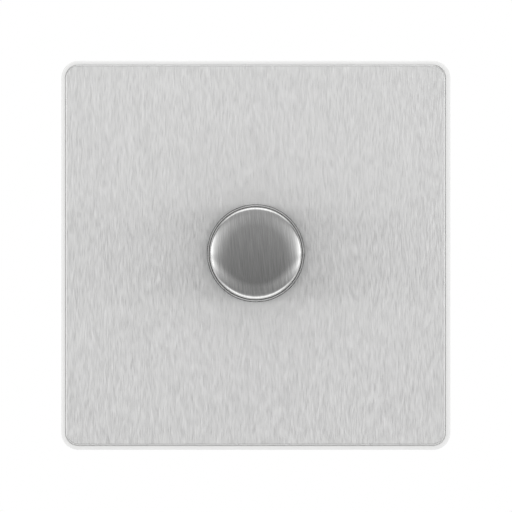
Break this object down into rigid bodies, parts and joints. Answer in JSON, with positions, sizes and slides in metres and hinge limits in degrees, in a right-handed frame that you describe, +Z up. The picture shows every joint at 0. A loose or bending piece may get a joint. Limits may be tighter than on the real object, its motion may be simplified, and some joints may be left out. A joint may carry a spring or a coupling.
{
  "type": "dimmer switch",
  "caption": "Square wall plate with a brushed metal face in a white rim and a central rotary knob that turns and pushes, with its dimmer module behind.",
  "frame": {"origin": "on the knob's axis in the wall plane, midway between the two box screws", "axes": "+X right and +Z up as seen from the room, +Y into the wall"},
  "size_m": [0.095, 0.0484, 0.095],
  "materials": {
    "brushed_sheet": "brushed, satin",
    "knob_metal": "brushed face, satin rim",
    "white_plastic": "moulded, semi-gloss",
    "frame_steel": "zinc plated, satin",
    "screw_steel": "nickel plated",
    "shaft_steel": "turned",
    "spring_steel": "bright",
    "black_plastic": "moulded",
    "housing_plastic": "moulded, fine texture",
    "cream_plastic": "moulded",
    "terminal_brass": "machined",
    "bush_metal": "nickel plated, threaded",
    "bronze": "stamped",
    "tinned_pin": "tinned",
    "phenolic": "laminate",
    "carbon_film": "printed",
    "silver_film": "printed",
    "board_laminate": "solder resist",
    "ferrite": "sintered",
    "enamelled_copper": "enamelled",
    "film_case": "moulded",
    "capacitor_sleeve": "shrunk sleeve",
    "fuse_case": "moulded",
    "epoxy_black": "moulded",
    "resistor_body": "lacquered",
    "heat_sink_metal": "mill finish",
    "silicone_pad": "sheet"
  },
  "bodies": {
    "base": {"front_plate": "brushed_sheet", "plate_carrier": "white_plastic", "support_frame": "frame_steel", "fixing_screws": "screw_steel", "frame_screws": "screw_steel", "threaded_bush": "bush_metal", "pot_nut": "screw_steel", "lock_washer": "screw_steel", "pot_case": "frame_steel", "track_plate": "phenolic", "resistive_track": "carbon_film", "collector_ring": "silver_film", "pot_pins": "tinned_pin", "switch_base": "cream_plastic", "fixed_contact_left": "bronze", "fixed_contact_right": "bronze", "switch_spring": "spring_steel", "module_housing": "housing_plastic", "housing_cover": "housing_plastic", "cover_screws": "screw_steel", "circuit_board": "board_laminate", "choke_core": "ferrite", "choke_winding": "enamelled_copper", "film_capacitor": "film_case", "electrolytic_capacitor": "capacitor_sleeve", "fuse": "fuse_case", "control_chip": "epoxy_black", "heat_sink": "heat_sink_metal", "insulating_pad_left": "silicone_pad", "insulating_pad_right": "silicone_pad", "transistor_left": "epoxy_black", "transistor_right": "epoxy_black", "transistor_screws": "screw_steel", "terminal_screws": "screw_steel", "earth_terminal": "terminal_brass", "earth_screw": "screw_steel", "terminal_1": "terminal_brass", "terminal_2": "terminal_brass", "terminal_3": "terminal_brass", "resistor_1": "resistor_body", "resistor_2": "resistor_body", "resistor_3": "resistor_body", "resistor_4": "resistor_body"},
    "rotor": {"wiper_rotor": "cream_plastic", "wiper_contact": "bronze"},
    "knob": {"knob_cap": "knob_metal", "knob_insert": "black_plastic", "knob_clip": "spring_steel", "pot_shaft": "shaft_steel", "shaft_circlip": "spring_steel"},
    "slider": {"switch_slider": "white_plastic", "moving_contact": "bronze"}
  },
  "joints": [
    {"name": "knob_turn", "type": "hinge", "parent": "base", "child": "rotor", "pos_m": [0, 0, 0], "axis": [0, 1, 0], "range_deg": [-150, 150]},
    {"name": "knob_push", "type": "slide", "parent": "rotor", "child": "knob", "axis": [0, 1, 0], "range_m": [0, 0.0013], "stiffness_N_per_m": 1500, "springref_m": -0.001, "deforming": ["switch_spring"]},
    {"name": "slider_press", "type": "slide", "parent": "base", "child": "slider", "axis": [0, 1, 0], "range_m": [0, 0.0013]}
  ],
  "couplings": [
    {"joint": "slider_press", "follows": "knob_push", "ratio": 1}
  ]
}
